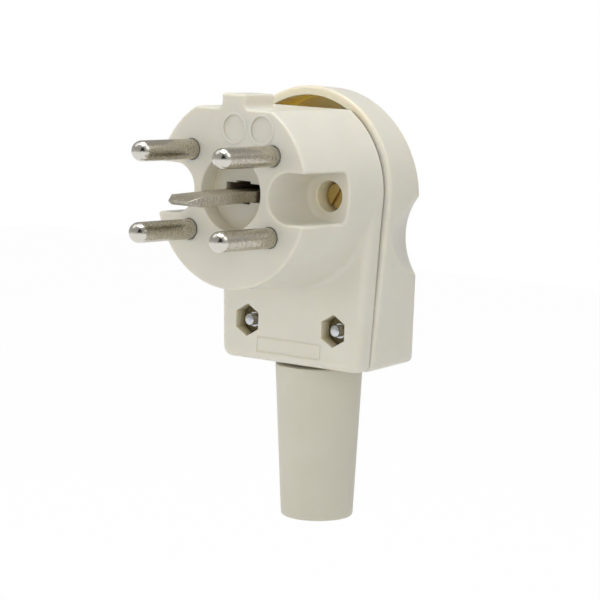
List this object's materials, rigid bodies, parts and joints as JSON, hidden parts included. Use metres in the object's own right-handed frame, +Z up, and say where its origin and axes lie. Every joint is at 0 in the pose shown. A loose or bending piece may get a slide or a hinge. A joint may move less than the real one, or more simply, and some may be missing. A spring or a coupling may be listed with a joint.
{
  "type": "angled three-phase plug",
  "caption": "Angled mains plug: round contact boss with domed pins and a flat earth blade, screwed moulded housing with grip scoops, and a tapered cable sleeve.",
  "frame": {"origin": "centre of the contact face, midway between the pins", "axes": "+Z up along the plug, away from the cable sleeve; the pins point along -Y; +X to the right seen from the front"},
  "size_m": [0.0508, 0.0695, 0.1084],
  "materials": {
    "ivory_housing": "moulded, semi-gloss",
    "cream_sleeve": "moulded, satin",
    "nickel_contact": "nickel plated, turned",
    "brass": "turned",
    "zinc_steel": "bright zinc plated",
    "inner_plastic": "moulded"
  },
  "bodies": {
    "root": {"front_housing": "ivory_housing", "rear_cover": "ivory_housing", "cable_sleeve": "cream_sleeve", "pin_upper_left": "nickel_contact", "pin_upper_right": "nickel_contact", "pin_lower_left": "nickel_contact", "pin_lower_right": "nickel_contact", "earth_blade": "nickel_contact", "wire_plate_upper_left": "zinc_steel", "wire_plate_upper_right": "zinc_steel", "wire_plate_lower_left": "zinc_steel", "wire_plate_lower_right": "zinc_steel", "wire_plate_earth": "zinc_steel", "terminal_screws": "zinc_steel", "earth_screw": "zinc_steel", "contact_retainer": "inner_plastic", "retainer_screws": "zinc_steel", "housing_screws": "brass", "cover_inserts": "brass", "cord_clamp": "inner_plastic", "clamp_screws": "zinc_steel", "clamp_nuts": "zinc_steel"}
  },
  "joints": []
}
